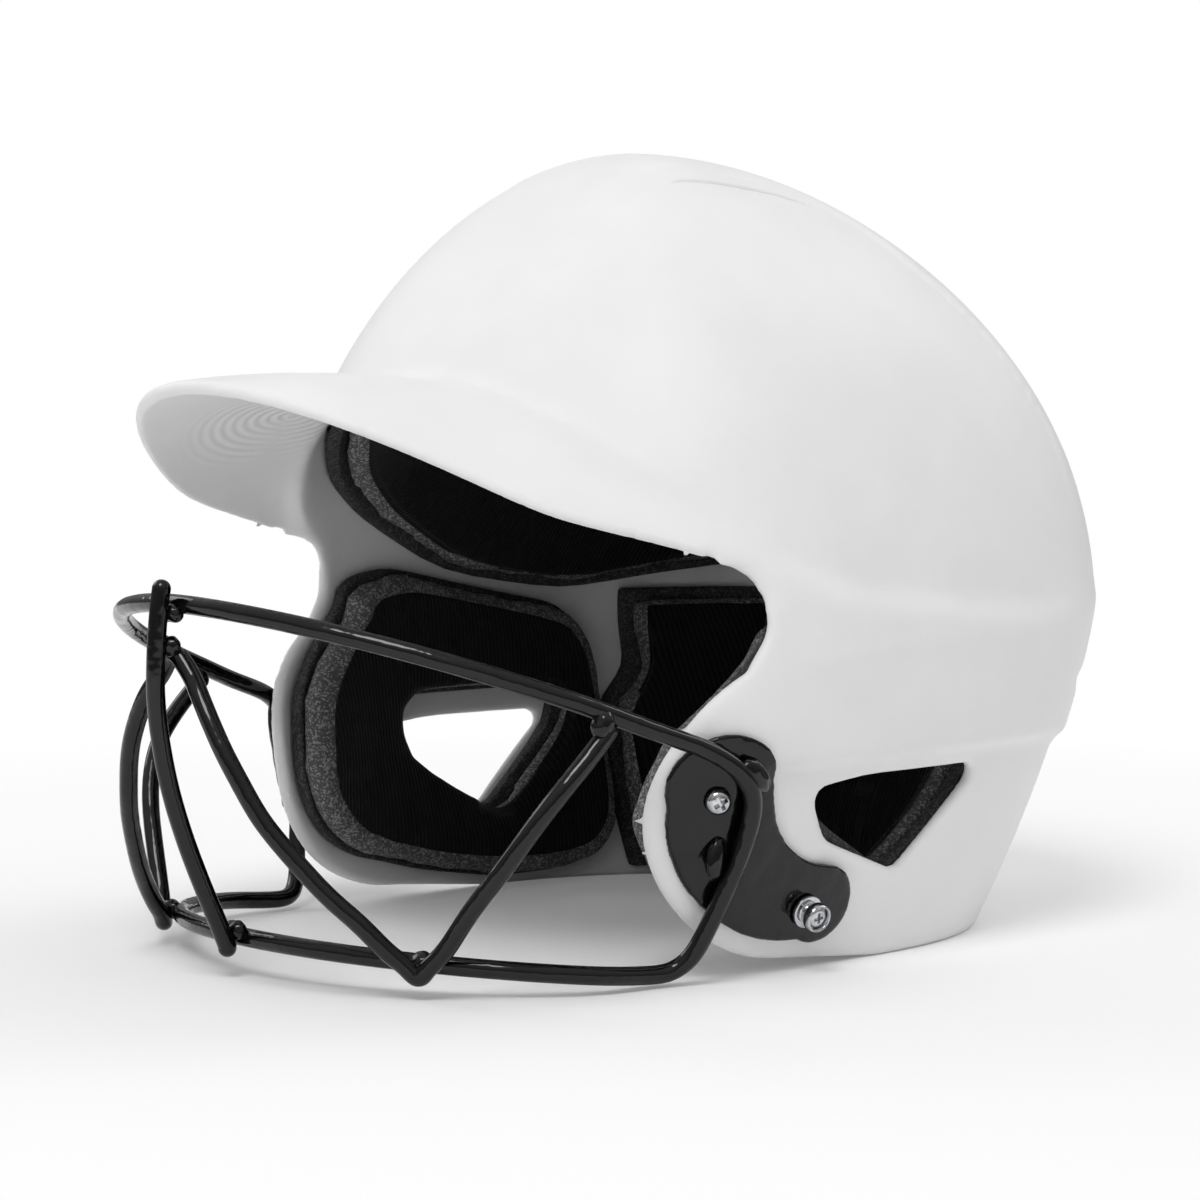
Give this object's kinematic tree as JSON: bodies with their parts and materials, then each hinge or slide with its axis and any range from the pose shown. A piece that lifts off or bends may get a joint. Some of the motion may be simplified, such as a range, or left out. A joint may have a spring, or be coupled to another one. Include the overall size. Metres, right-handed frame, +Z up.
{
  "type": "softball batting helmet",
  "caption": "Softball batting helmet: moulded shell with brim and ear flaps, layered padding and a welded wire face guard on steel ear plates.",
  "frame": {"origin": "on the floor, on the centre plane, under the middle of the helmet's length from the guard's centre bar to the nape side", "axes": "+Z up, the face looks along -Y, the wearer's left is +X; the row is symmetric about the plane x = 0"},
  "size_m": [0.219, 0.321, 0.23],
  "materials": {
    "shell": "matte white",
    "firm_foam": "firm closed-cell foam, black",
    "soft_foam": "soft open-cell foam, charcoal",
    "fabric": "ribbed black knit",
    "guard_black": "gloss black coating on steel",
    "chrome": "bright"
  },
  "bodies": {
    "root": {"shell": "shell", "brow_foam": "firm_foam", "brow_pad": "soft_foam", "brow_fabric": "fabric", "crown_foam": "firm_foam", "crown_pad": "soft_foam", "crown_fabric": "fabric", "ear_foam_left": "firm_foam", "ear_pad_left": "soft_foam", "ear_fabric_left": "fabric", "ear_foam_right": "firm_foam", "ear_pad_right": "soft_foam", "ear_fabric_right": "fabric", "rear_foam_left": "firm_foam", "rear_pad_left": "soft_foam", "rear_fabric_left": "fabric", "rear_foam_right": "firm_foam", "rear_pad_right": "soft_foam", "rear_fabric_right": "fabric", "nape_foam": "firm_foam", "nape_pad": "soft_foam", "nape_fabric": "fabric", "guard_loop_wire": "guard_black", "guard_center_bar": "guard_black", "guard_w_wire": "guard_black", "weld_bar_top_left": "guard_black", "weld_bar_top_right": "guard_black", "weld_bar_low_left": "guard_black", "weld_bar_low_right": "guard_black", "weld_arch_left": "guard_black", "weld_arch_right": "guard_black", "weld_w_left": "guard_black", "weld_w_right": "guard_black", "weld_v_left": "guard_black", "weld_v_right": "guard_black", "ear_plate_left": "guard_black", "ear_plate_right": "guard_black", "plate_weld_upper_left": "guard_black", "plate_weld_upper_right": "guard_black", "plate_weld_lower_left": "guard_black", "plate_weld_lower_right": "guard_black", "plate_screw_left": "chrome", "plate_screw_right": "chrome", "strap_stud_left": "chrome", "strap_stud_right": "chrome", "stud_screw_left": "chrome", "stud_screw_right": "chrome", "nut_upper_left": "chrome", "nut_upper_right": "chrome", "nut_lower_left": "chrome", "nut_lower_right": "chrome"}
  },
  "joints": []
}
